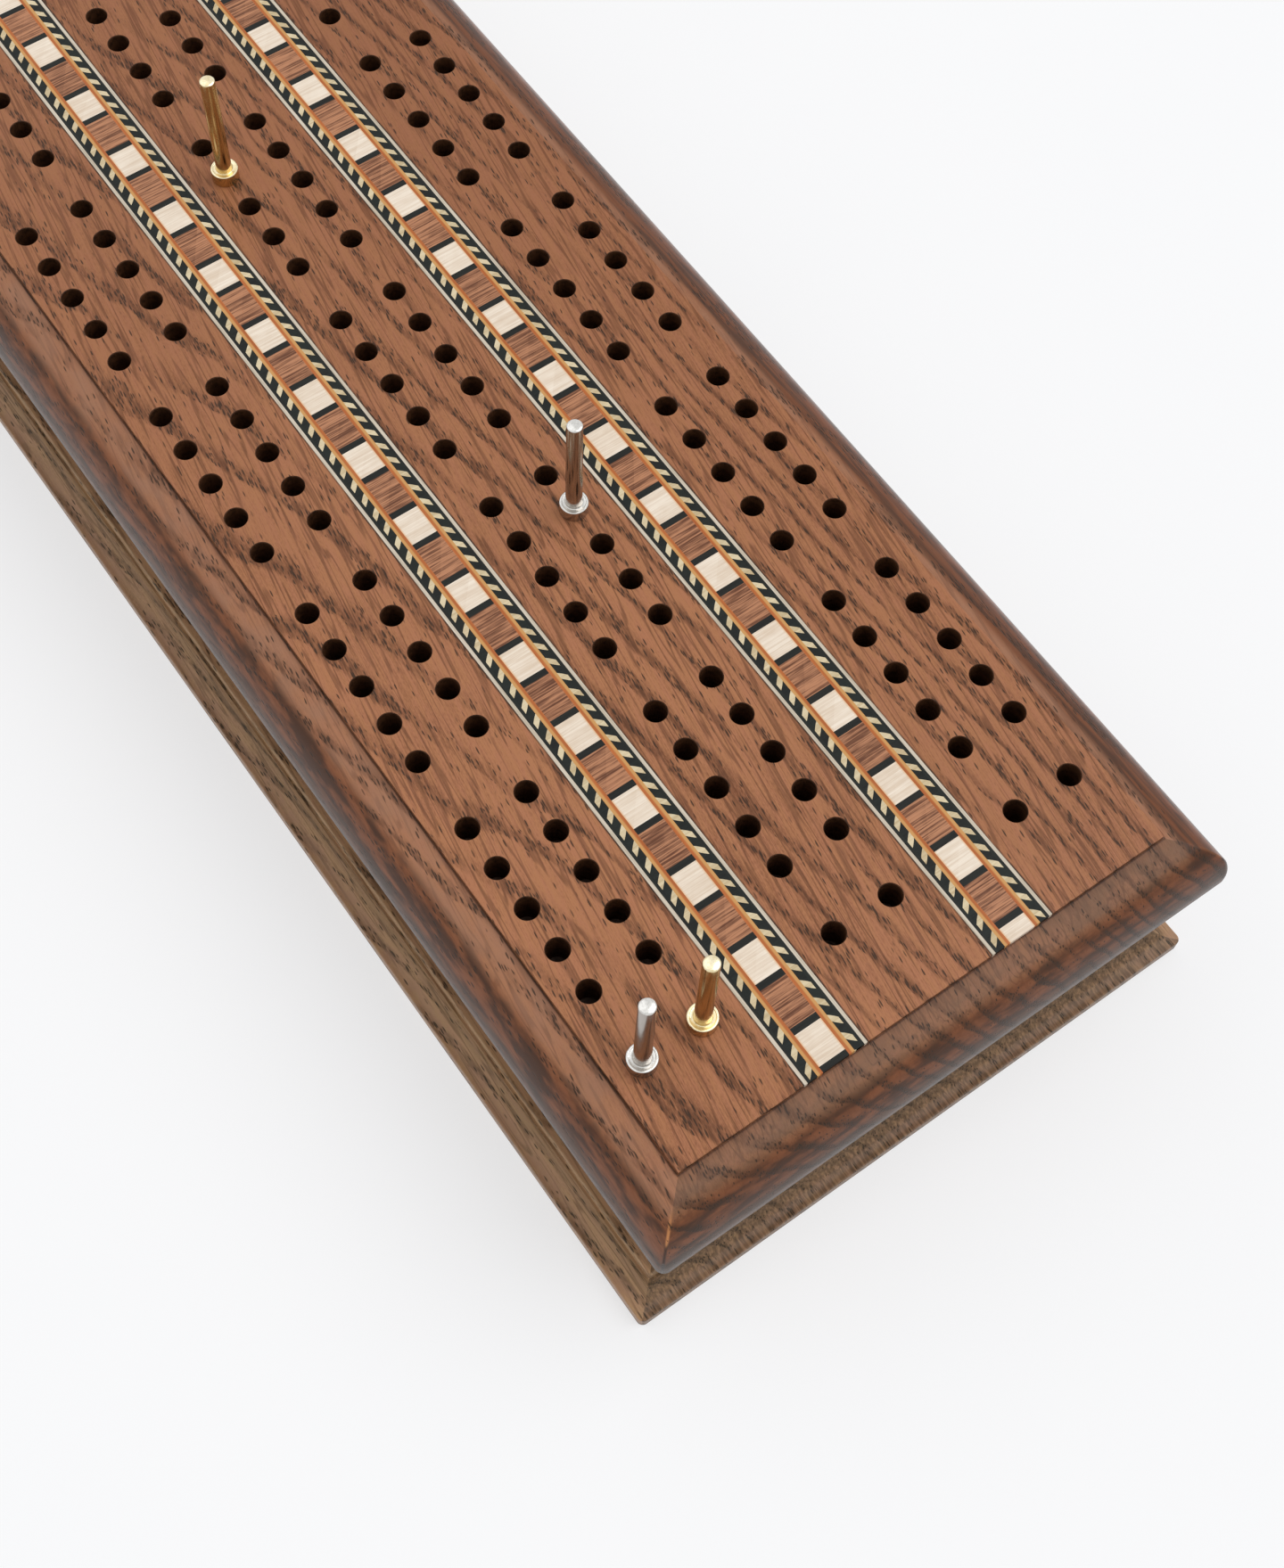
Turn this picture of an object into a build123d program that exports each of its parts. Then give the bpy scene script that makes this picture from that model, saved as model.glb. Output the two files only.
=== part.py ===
from build123d import *
import os

# Cribbage board box with a drawer, in millimetres.
# X runs across the box, Y along it towards the drawer's knob, Z up.
# The origin is the centre of the base board's underside.

# --- playing board: one plank with a raised field inside a quarter-round edge
board_thickness = 10.0
field_step = 0.9  # height of the field above the top of the quarter-round
edge_lip = 1.2  # upright edge left below the quarter-round
board_corner_radius = 1.4

# --- peg holes: tracks of two rows, in groups, with one start hole per row
track_count = 3
track_spacing = 31.4
row_spacing = 9.65
group_count = 6
holes_per_group = 5
hole_pitch = 7.14
group_gap = 12.25  # last hole of a group to the first of the next
start_gap = 11.87  # start hole to the first group
start_margin = 14.5  # start hole to the near edge of the field
end_margin = 15.22  # last hole to the far edge of the field
side_margin = 4.75  # outer row to the side edge of the field
hole_radius = 1.7
hole_floor = 2.5  # wood left below a hole
play_hole_sides = 8  # flats round a play hole, each one hole_radius from the axis

# --- banding: one strip of marquetry between each pair of tracks
banding_thickness = 0.8
light_line_width = 0.5
black_line_width = 0.5
rope_width = 1.1
orange_line_width = 0.9
core_width = 4.3
light_block_length = 5.2
brown_block_length = 6.4
black_bar_length = 1.05
left_banding_cut = 0.15  # how much of the pattern the near end cuts off
right_banding_cut = 3.9

# --- case: base board with a cove moulding, two sides and the near end wall
base_end_inset = 0.9  # from the playing board's ends
base_side_overhang = 1.3  # beyond the playing board's sides
base_thickness = 7.0
base_edge_height = 2.6
base_edge_ledge = 0.5
cove_radius = 3.1
cove_shoulder = 0.4
base_corner_radius = 1.0
case_end_inset = 6.0  # from the playing board's ends
case_side_inset = 6.1
wall_height = 22.4
wall_thickness = 6.0
end_wall_rebate = 3.0  # how deep the end wall sits in the sides

# --- drawer: it closes the far end and slides on the base board
drawer_side_gap = 0.4
drawer_top_gap = 0.6
drawer_end_gap = 0.8
drawer_front_thickness = 8.0
drawer_side_thickness = 4.0
drawer_back_thickness = 4.0
drawer_bottom_thickness = 2.5
drawer_bottom_rebate = 2.0  # how far the bottom reaches under each side
front_lap = 4.0  # how far the sides reach into the drawer front
divider_thickness = 3.0
divider_dado = 1.2  # how deep a divider sits in the drawer sides
divider_drop = 2.0  # the dividers stop this far below the drawer's rim
card_well_length = 92.0

# --- turned knob and the screw that holds it
knob_length = 12.5
knob_foot_radius = 4.2
knob_foot_length = 1.6
knob_neck_radius = 2.9
knob_neck_length = 4.2
knob_head_radius = 6.0
knob_flare = 0.8  # length of the slope from the neck out to the head
knob_head_chamfer = 1.0
knob_screw_radius = 1.4
knob_screw_grip = 7.0  # length of screw inside the knob
knob_screw_head_radius = 3.0
knob_screw_head_height = 1.8
screw_hole_clearance = 0.2
screw_pilot_clearance = 0.05

# --- pegs
peg_side_gap = 0.2  # between the shank and the wall of its hole
peg_end_gap = 0.3  # between the shank and the floor of its hole
peg_collar_rim = 0.65  # how far the collar stands out from the shank
peg_collar_height = 2.1
peg_neck_step = 0.25  # how much thinner the peg is above the collar
peg_height = 21.0  # top of the peg above the field
peg_chamfer = 0.3

# --- what follows from them
wall_base = base_thickness
board_base = wall_base + wall_height
field_top = board_base + board_thickness
hole_depth = board_thickness - hole_floor
edge_radius = board_thickness - field_step - edge_lip
group_length = (holes_per_group - 1) * hole_pitch
group_pitch = group_length + group_gap
tracks_length = start_gap + (group_count - 1) * group_pitch + group_length
tracks_width = (track_count - 1) * track_spacing + row_spacing
field_length = start_margin + tracks_length + end_margin
start_y = start_margin - field_length / 2
board_length = field_length + 2 * edge_radius
board_width = tracks_width + 2 * (side_margin + edge_radius)
base_length = board_length - 2 * base_end_inset
base_width = board_width + 2 * base_side_overhang
case_length = board_length - 2 * case_end_inset
case_width = board_width - 2 * case_side_inset
drawer_width = case_width - 2 * wall_thickness - 2 * drawer_side_gap
drawer_height = wall_height - drawer_top_gap
drawer_front_y = case_length / 2
drawer_back_y = wall_thickness + drawer_end_gap - case_length / 2
knob_z = wall_base + drawer_height / 2
peg_insert = hole_depth - peg_end_gap
peg_shank_radius = hole_radius - peg_side_gap
peg_collar_radius = peg_shank_radius + peg_collar_rim
peg_neck_radius = peg_shank_radius - peg_neck_step
row_places = [
    (track - (track_count - 1) / 2) * track_spacing + side * row_spacing / 2
    for track in range(track_count)
    for side in (-1, 1)
]
pattern = [
    ("black_bars", black_bar_length),
    ("light_blocks", light_block_length),
    ("black_bars", black_bar_length),
    ("brown_blocks", brown_block_length),
]


def block(x, y, z):
    """A box given by its low and high value along each axis."""
    size = (x[1] - x[0], y[1] - y[0], z[1] - z[0])
    return Pos(x[0], y[0], z[0]) * Box(*size, align=(Align.MIN,) * 3)


def span(centre, width):
    return centre - width / 2, centre + width / 2


def turned(points):
    """Solid turned about the Z axis from (radius, z) corners, both ends on the axis."""
    return revolve(make_face(Plane.XZ * Polyline(*points, close=True)), Axis.Z)


def moulded_plank(length, width, section):
    """Plank with one moulding on all four edges, mitred at the corners."""
    along = extrude(Plane.XZ * section(width), length / 2, both=True)
    across = extrude(Plane.YZ * section(length), width / 2, both=True)
    return along & across


def mirrored_section(half):
    """Face between a half outline, drawn from the centre line outwards and up, and its mirror image."""
    start, end = half @ 0, half @ 1
    closed = half + Line(end, (0, end.Y)) + Line((0, end.Y), start)
    face = make_face(closed)
    return face + mirror(face, Plane.YZ)


def board_section(width):
    """Lip, quarter-round and the step up to the field."""
    edge = width / 2
    shoulder = edge - edge_radius
    half = Line((0, 0), (edge, 0)) + Line((edge, 0), (edge, edge_lip))
    half += CenterArc((shoulder, edge_lip), edge_radius, 0, 90)
    half += Line((shoulder, edge_lip + edge_radius), (shoulder, board_thickness))
    return mirrored_section(Wire(half.edges()))


def base_section(width):
    """Upright edge, ledge, cove and a shoulder below the ridge."""
    edge, ledge = width / 2, width / 2 - base_edge_ledge
    cove_top = base_edge_height + cove_radius
    foot, ridge = ledge - cove_radius, ledge - cove_radius - cove_shoulder
    half = Polyline((0, 0), (edge, 0), (edge, base_edge_height), (ledge, base_edge_height))
    half += CenterArc((ledge, cove_top), cove_radius, 180, 90)
    half += Polyline((foot, cove_top), (ridge, cove_top), (ridge, base_thickness))
    return mirrored_section(Wire(half.edges()))


def play_hole_y(group, hole):
    """Y of a play hole; groups and holes count from 1 at the near end."""
    return start_y + start_gap + (group - 1) * group_pitch + (hole - 1) * hole_pitch


def play_hole_places():
    return [
        (x, play_hole_y(group, hole))
        for x in row_places
        for group in range(1, group_count + 1)
        for hole in range(1, holes_per_group + 1)
    ]


def banding_centres():
    """X of each banding, midway between two tracks."""
    first = -(track_count - 2) / 2 * track_spacing
    return [first + i * track_spacing for i in range(track_count - 1)]


def banding_width():
    sides = light_line_width + black_line_width + rope_width + orange_line_width
    return core_width + 2 * sides


def playing_board():
    plank = Pos(0, 0, board_base) * moulded_plank(board_length, board_width, board_section)
    plan = RectangleRounded(board_width, board_length, board_corner_radius)
    plank &= Pos(0, 0, board_base) * extrude(plan, board_thickness)
    groove_floor = field_top - banding_thickness
    for x in banding_centres():
        plank -= block(span(x, banding_width()), span(0, field_length), (groove_floor, field_top))
    floor = Plane.XY.offset(field_top - hole_depth)
    flats = RegularPolygon(hole_radius, play_hole_sides, major_radius=False)
    play_holes = [floor * Pos(x, y) * flats for x, y in play_hole_places()]
    start_holes = [floor * Pos(x, start_y) * Circle(hole_radius) for x in row_places]
    return plank - [extrude(hole, hole_depth) for hole in play_holes + start_holes]


def banding_strips(centre):
    """The lines that run the banding's whole length, by kind, mirrored about its core."""
    strips, inner = {}, core_width / 2
    kinds = (
        ("orange_lines", orange_line_width),
        ("rope_strips", rope_width),
        ("black_lines", black_line_width),
        ("light_lines", light_line_width),
    )
    for kind, width in kinds:
        strips[kind] = [
            block(
                span(centre + side * (inner + width / 2), width),
                span(0, field_length),
                (field_top - banding_thickness, field_top),
            )
            for side in (-1, 1)
        ]
        inner += width
    return strips


def banding_core(centre, cut):
    """Ladder of blocks and bars, by kind, cut off at both ends of the field."""
    pieces = {kind: [] for kind, _ in pattern}
    near, far = span(0, field_length)
    y, step = near - cut, 0
    while y < far:
        kind, length = pattern[step % len(pattern)]
        low, high = max(y, near), min(y + length, far)
        if high > low:
            height = (field_top - banding_thickness, field_top)
            pieces[kind].append(block(span(centre, core_width), (low, high), height))
        y, step = y + length, step + 1
    return pieces


def case_side(hand):
    """Side wall, rebated inside for the end wall; hand is -1 on the left and 1 on the right."""
    inner = hand * (case_width / 2 - wall_thickness)
    outer = hand * case_width / 2
    wall = block(
        sorted((inner, outer)),
        span(0, case_length),
        (wall_base, wall_base + wall_height),
    )
    return wall - case_end_wall()


def case_end_wall():
    width = case_width - 2 * wall_thickness + 2 * end_wall_rebate
    near = -case_length / 2
    return block(
        span(0, width), (near, near + wall_thickness), (wall_base, wall_base + wall_height)
    )


def base_board():
    plank = moulded_plank(base_length, base_width, base_section)
    plan = RectangleRounded(base_width, base_length, base_corner_radius)
    return plank & extrude(plan, base_thickness)


def drawer_bottom():
    inset_x = 2 * (drawer_side_thickness - drawer_bottom_rebate)
    return block(
        span(0, drawer_width - inset_x),
        (
            drawer_back_y + drawer_back_thickness - drawer_bottom_rebate,
            drawer_front_y - drawer_front_thickness + drawer_bottom_rebate,
        ),
        (wall_base, wall_base + drawer_bottom_thickness),
    )


def divider_places():
    """Near face of each divider: a card well behind the drawer's back, then another."""
    first = drawer_back_y + drawer_back_thickness + card_well_length
    return [first, first + divider_thickness + card_well_length]


def divider(near, drop):
    width = drawer_width - 2 * drawer_side_thickness + 2 * divider_dado
    return block(
        span(0, width),
        (near, near + divider_thickness),
        (wall_base + drawer_bottom_thickness, wall_base + drawer_height - drop),
    )


def drawer_side(hand):
    """Drawer side, with a rebate for the bottom and a dado open to the top for each divider."""
    outer = hand * drawer_width / 2
    inner = outer - hand * drawer_side_thickness
    side = block(
        sorted((inner, outer)),
        (drawer_back_y, drawer_front_y - drawer_front_thickness + front_lap),
        (wall_base, wall_base + drawer_height),
    )
    return side - [drawer_bottom()] - [divider(near, 0) for near in divider_places()]


def drawer_back():
    back = block(
        span(0, drawer_width - 2 * drawer_side_thickness),
        (drawer_back_y, drawer_back_y + drawer_back_thickness),
        (wall_base, wall_base + drawer_height),
    )
    return back - drawer_bottom()


def drawer_front():
    front = block(
        span(0, drawer_width),
        (drawer_front_y - drawer_front_thickness, drawer_front_y),
        (wall_base, wall_base + drawer_height),
    )
    screw_hole = Cylinder(knob_screw_radius + screw_hole_clearance, 3 * drawer_front_thickness)
    return front - [drawer_side(-1), drawer_side(1), drawer_bottom(), at_knob(screw_hole)]


def at_knob(shape):
    """Turns a shape's Z axis to +Y and puts its origin on the drawer front, at the knob."""
    return Pos(0, drawer_front_y, knob_z) * Rot(-90, 0, 0) * shape


def drawer_knob():
    neck_end = knob_foot_length + knob_neck_length
    knob = turned(
        [
            (0, 0),
            (knob_foot_radius, 0),
            (knob_foot_radius, knob_foot_length),
            (knob_neck_radius, knob_foot_length),
            (knob_neck_radius, neck_end),
            (knob_head_radius, neck_end + knob_flare),
            (knob_head_radius, knob_length - knob_head_chamfer),
            (knob_head_radius - knob_head_chamfer, knob_length),
            (0, knob_length),
        ]
    )
    pilot = Cylinder(
        knob_screw_radius + screw_pilot_clearance,
        knob_screw_grip + screw_pilot_clearance,
        align=(Align.CENTER, Align.CENTER, Align.MIN),
    )
    return at_knob(knob - pilot)


def knob_screw():
    head = -drawer_front_thickness - knob_screw_head_height
    return at_knob(
        turned(
            [
                (0, head),
                (knob_screw_head_radius, head),
                (knob_screw_head_radius, -drawer_front_thickness),
                (knob_screw_radius, -drawer_front_thickness),
                (knob_screw_radius, knob_screw_grip),
                (0, knob_screw_grip),
            ]
        )
    )


def peg(x, y):
    """Turned peg standing in a hole, its collar resting on the field."""
    return Pos(x, y, field_top) * turned(
        [
            (0, -peg_insert),
            (peg_shank_radius, -peg_insert),
            (peg_shank_radius, 0),
            (peg_collar_radius, 0),
            (peg_collar_radius, peg_collar_height),
            (peg_neck_radius, peg_collar_height),
            (peg_neck_radius, peg_height - peg_chamfer),
            (peg_neck_radius - peg_chamfer, peg_height),
            (0, peg_height),
        ]
    )


def pegs():
    """Where the pegs stand: two on the start line, two part of the way along the middle track."""
    return {
        "peg_silver_start": peg(row_places[0], start_y),
        "peg_brass_start": peg(row_places[1], start_y),
        "peg_brass_middle": peg(row_places[2], play_hole_y(4, 4)),
        "peg_silver_middle": peg(row_places[3], play_hole_y(2, 4)),
    }


def save(name, *shapes):
    export_step(Compound(list(shapes)) if len(shapes) > 1 else shapes[0], f"parts/{name}.step")


def main():
    os.makedirs("parts", exist_ok=True)
    save("playing_board", playing_board())
    for hand, x, cut in zip(
        ("left", "right"), banding_centres(), (left_banding_cut, right_banding_cut)
    ):
        for kind, pieces in (banding_strips(x) | banding_core(x, cut)).items():
            save(f"{hand}_banding_{kind}", *pieces)
    save("base_board", base_board())
    save("case_side_left", case_side(-1))
    save("case_side_right", case_side(1))
    save("case_end_wall", case_end_wall())
    save("drawer_front", drawer_front())
    save("drawer_side_left", drawer_side(-1))
    save("drawer_side_right", drawer_side(1))
    save("drawer_back", drawer_back())
    save("drawer_bottom", drawer_bottom())
    for name, near in zip(("drawer_divider_inner", "drawer_divider_outer"), divider_places()):
        save(name, divider(near, divider_drop))
    save("drawer_knob", drawer_knob())
    save("knob_screw", knob_screw())
    for name, shape in pegs().items():
        save(name, shape)


main()
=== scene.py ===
import math

import bmesh
import bpy
from mathutils import Matrix, Vector


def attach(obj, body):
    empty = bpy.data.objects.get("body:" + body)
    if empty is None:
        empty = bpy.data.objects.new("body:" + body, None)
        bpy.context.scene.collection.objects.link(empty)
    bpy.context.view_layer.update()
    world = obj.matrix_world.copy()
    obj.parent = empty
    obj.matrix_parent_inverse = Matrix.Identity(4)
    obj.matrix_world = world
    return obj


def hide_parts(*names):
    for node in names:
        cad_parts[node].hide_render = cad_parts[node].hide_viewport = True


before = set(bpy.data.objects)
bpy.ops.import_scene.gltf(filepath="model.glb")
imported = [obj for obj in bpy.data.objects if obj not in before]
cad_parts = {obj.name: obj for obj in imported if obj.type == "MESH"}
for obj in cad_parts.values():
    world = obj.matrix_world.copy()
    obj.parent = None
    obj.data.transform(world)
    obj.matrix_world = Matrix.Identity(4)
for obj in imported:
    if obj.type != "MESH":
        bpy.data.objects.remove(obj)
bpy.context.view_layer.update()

# Sizes are in millimetres, as in the CAD source, and become metres when a mesh is made.
MM = 0.001

# --- meshes; the distances are in metres
WELD = 2e-6  # points of a new mesh nearer than this become one
CAD_WELD = 1e-6  # and those of a CAD mesh
NO_LENGTH = 1e-7  # edges shorter than this are dissolved
# how fast the radius of a plank's corner shrinks with the inset, and the least it comes to
RIGHT_CORNER = 0.9, 0.25
LEFT_CORNER = 2.0, 0.1

# --- playing board
BOARD_HALF = (48.875, 145.0)
BOARD_BASE = 29.4
BOARD_THICKNESS = 10.0
BOARD_CORNER = 1.4
FIELD_TOP = BOARD_BASE + BOARD_THICKNESS
FIELD_HALF_LENGTH = 137.1
EDGE_RADIUS = 7.9  # quarter-round between the field and the lip
EDGE_LIP = 1.2

# --- peg holes
TRACKS = (-31.4, 0.0, 31.4)
ROW_SPACING = 9.65
GROUPS = 6
HOLES = 5
PITCH = 7.14
GROUP_PITCH = 40.81
START_Y = -122.6
FIRST_Y = START_Y + 11.87
HOLE_RADIUS = 1.7
HOLE_DEPTH = 7.5
HOLE_EASE = 0.1  # how far the rim of a hole is worn back
DRILL_POINT = 0.6  # height of the cone at the bottom of a hole
CUTTER_ABOVE = 1.0  # how far a cutter stands out of the face it opens

# --- banding
BANDINGS = {"left": -15.7, "right": 15.7}
BANDING_THICKNESS = 0.8
BANDING_WIDTH = 10.3
GLUE_GAP = 0.05
GROOVE_OVERRUN = 2.9  # the cutter passes the field's ends, above the quarter-round
CORE_WIDTH = 4.3
ORANGE_WIDTH = 0.9
ROPE_WIDTH = 1.1
CHIP_PITCH = 2.94
CREAM_LENGTH = 1.2
CHIP_BOW = 0.05  # how far the joint between two chips bulges
CHIP_MIN = 0.05  # shorter ends of chips are left out
# lower tip of the first cream chip, from the near end of the field
FIRST_CHIP = {("left", -1): 0.13, ("left", 1): 0.79, ("right", -1): 0.5, ("right", 1): 0.05}

# --- base board
BASE_HALF = (50.175, 144.1)
BASE_TOP = 7.0
BASE_EDGE = 2.6
BASE_LEDGE = 0.5
BASE_CORNER = 1.0
COVE_RADIUS = 3.1
COVE_SHOULDER = 0.4
BASE_RIDGE = BASE_LEDGE + COVE_RADIUS + COVE_SHOULDER

# --- edges rounded over on the plain boards of the case and the drawer
CASE_EASE = 0.35
FRONT_EASE = 0.6
DRAWER_EASE = 0.25

# --- knob, with its foot on the drawer front
DRAWER_FRONT_Y = 139.0
KNOB_Z = 17.9
KNOB_LENGTH = 12.5
KNOB_FOOT_RADIUS = 4.2
KNOB_FOOT_LENGTH = 1.6
KNOB_NECK_RADIUS = 3.0
KNOB_NECK_HOLLOW = 0.12
KNOB_NECK_LENGTH = 3.5
KNOB_HEAD_RADIUS = 6.0
KNOB_HEAD_START = 6.6
KNOB_SHOULDER = 1.1  # radius of the rounding at the rim of the head

# --- pegs, with their collars on the field
PEG_HEIGHT = 21.0
PEG_INSERT = 7.2
PEG_SHANK_RADIUS = 1.5
PEG_COLLAR_RADIUS = 2.15
PEG_COLLAR_HEIGHT = 2.1
PEG_NECK_RADIUS = 1.25
PEGS = {
    "peg_silver_start": (TRACKS[0] - ROW_SPACING / 2, START_Y),
    "peg_brass_start": (TRACKS[0] + ROW_SPACING / 2, START_Y),
    "peg_brass_middle": (TRACKS[1] - ROW_SPACING / 2, FIRST_Y + 3 * GROUP_PITCH + 3 * PITCH),
    "peg_silver_middle": (TRACKS[1] + ROW_SPACING / 2, FIRST_Y + GROUP_PITCH + 3 * PITCH),
}


# ---------------------------------------------------------------- meshes
def show(name, data):
    """New object in the scene."""
    made = bpy.data.objects.new(name, data)
    bpy.context.scene.collection.objects.link(made)
    return made


def new_piece(name, verts, faces, material, smooth=False, sharp_at=8):
    """Welded, closed mesh in metres; smooth turns on smooth shading below the sharp_at angle."""
    mesh = bpy.data.meshes.new(name)
    mesh.from_pydata([Vector(v) * MM for v in verts], [], faces)
    weld(mesh, smooth, sharp_at)
    mesh.materials.append(material)
    return show(name, mesh)


def weld(mesh, smooth=True, sharp_at=8):
    """Merges loose points, turns all faces outwards and sets the shading."""
    bm = bmesh.new()
    bm.from_mesh(mesh)
    bmesh.ops.remove_doubles(bm, verts=bm.verts, dist=WELD)
    bmesh.ops.dissolve_degenerate(bm, edges=bm.edges, dist=NO_LENGTH)
    bmesh.ops.recalc_face_normals(bm, faces=bm.faces)
    bm.to_mesh(mesh)
    bm.free()
    if smooth:
        mesh.polygons.foreach_set("use_smooth", [True] * len(mesh.polygons))
        mesh.set_sharp_from_angle(angle=math.radians(sharp_at))


def from_corner(across, up, *steps):
    """Profile points that soften a corner, each given as a step away from it."""
    return [(across + a, up + b) for a, b in steps]


def arc(across, up, radius, first, last, steps):
    """Points along an arc, from one angle to another in degrees."""
    for i in range(steps + 1):
        a = math.radians(first + (last - first) * i / steps)
        yield across + radius * math.cos(a), up + radius * math.sin(a)


def outline(half_x, half_y, right, left, steps=12):
    """Rectangle with its right and left corners rounded, anticlockwise from the near right one."""
    points = []
    for sx, sy, first in ((1, -1, -90), (1, 1, 0), (-1, 1, 90), (-1, -1, 180)):
        radius = right if sx > 0 else left
        middle = sx * (half_x - radius), sy * (half_y - radius)
        points += arc(*middle, radius, first, first + 90, steps)
    return points


def moulded(half, profile, corner):
    """Plank from (inset, height) points; its corners tighten inwards, the left ones sooner."""
    verts, faces = [], []
    for inset, z in profile:
        radii = [max(corner - rate * inset, least) for rate, least in (RIGHT_CORNER, LEFT_CORNER)]
        loop = outline(half[0] - inset, half[1] - inset, *radii)
        verts += [(x, y, z) for x, y in loop]
    n = len(verts) // len(profile)
    for k in range(len(profile) - 1):
        for i in range(n):
            j = (i + 1) % n
            faces.append((k * n + i, k * n + j, (k + 1) * n + j, (k + 1) * n + i))
    faces.append(tuple(range(n))[::-1])
    faces.append(tuple(range(len(verts) - n, len(verts))))
    return verts, faces


def turned(profile, segments=64):
    """Solid turned about Z from (radius, height) points that start and end on the axis."""
    verts = [(0, 0, profile[0][1])]
    for r, z in profile[1:-1]:
        for i in range(segments):
            a = 2 * math.pi * i / segments
            verts.append((r * math.cos(a), r * math.sin(a), z))
    verts.append((0, 0, profile[-1][1]))
    faces, last, rings = [], len(verts) - 1, len(profile) - 2
    for i in range(segments):
        j = (i + 1) % segments
        faces.append((0, 1 + j, 1 + i))
        for k in range(rings - 1):
            a, b = 1 + k * segments, 1 + (k + 1) * segments
            faces.append((a + i, a + j, b + j, b + i))
        top = 1 + (rings - 1) * segments
        faces.append((top + i, top + j, last))
    return verts, faces


def prism(points, low, high):
    """Upright prism over an outline."""
    n = len(points)
    verts = [(x, y, low) for x, y in points] + [(x, y, high) for x, y in points]
    faces = [tuple(range(n))[::-1], tuple(range(n, 2 * n))]
    faces += [(i, (i + 1) % n, n + (i + 1) % n, n + i) for i in range(n)]
    return verts, faces


def joined(parts):
    """One list of vertices and one of faces from several pairs of them."""
    verts, faces = [], []
    for part_verts, part_faces in parts:
        base = len(verts)
        verts += part_verts
        faces += [tuple(base + i for i in face) for face in part_faces]
    return verts, faces


def moved(part, matrix):
    verts, faces = part
    return [tuple(matrix @ Vector(v)) for v in verts], faces


def cut(piece, *cutters):
    """Takes closed meshes out of a piece; each gives the faces it leaves its own material."""
    for part, material in cutters:
        tool = new_piece("cutter", *part, material)
        change = piece.modifiers.new("cut", "BOOLEAN")
        change.operation, change.solver, change.object = "DIFFERENCE", "EXACT", tool
        change.material_mode = "TRANSFER"
        graph = bpy.context.evaluated_depsgraph_get()
        mesh = bpy.data.meshes.new_from_object(piece.evaluated_get(graph))
        piece.modifiers.clear()
        piece.data = mesh
        bpy.data.objects.remove(tool)
    weld(piece.data)


def eased(node, material, width):
    """Piece that stands for a CAD node with its edges rounded over."""
    flat, crease = 0.02, 0.7  # radians between faces: merged below flat, rounded above crease
    mesh = bpy.data.meshes.new(node + "_eased")
    bm = bmesh.new()
    bm.from_mesh(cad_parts[node].data)
    bmesh.ops.remove_doubles(bm, verts=bm.verts, dist=CAD_WELD)
    bmesh.ops.dissolve_limit(bm, angle_limit=flat, verts=bm.verts, edges=bm.edges)
    sharp = [e for e in bm.edges if e.is_manifold and e.calc_face_angle() > crease]
    bmesh.ops.bevel(bm, geom=sharp, offset=width * MM, segments=3, profile=0.5, affect="EDGES")
    bm.to_mesh(mesh)
    bm.free()
    weld(mesh, sharp_at=35)
    mesh.materials.append(material)
    return show(node + "_eased", mesh)


def settle(piece, body, node):
    """Puts a piece on its body in place of a CAD node."""
    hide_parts(node)
    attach(piece, body)


def dress(node, material):
    """Gives a CAD node that is shown as it is its material."""
    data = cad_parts[node].data
    data.materials.clear()
    data.materials.append(material)


# ---------------------------------------------------------------- materials
def srgb(r, g, b):
    def linear(v):
        v /= 255
        return v / 12.92 if v <= 0.04045 else ((v + 0.055) / 1.055) ** 2.4

    return linear(r), linear(g), linear(b), 1.0


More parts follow.
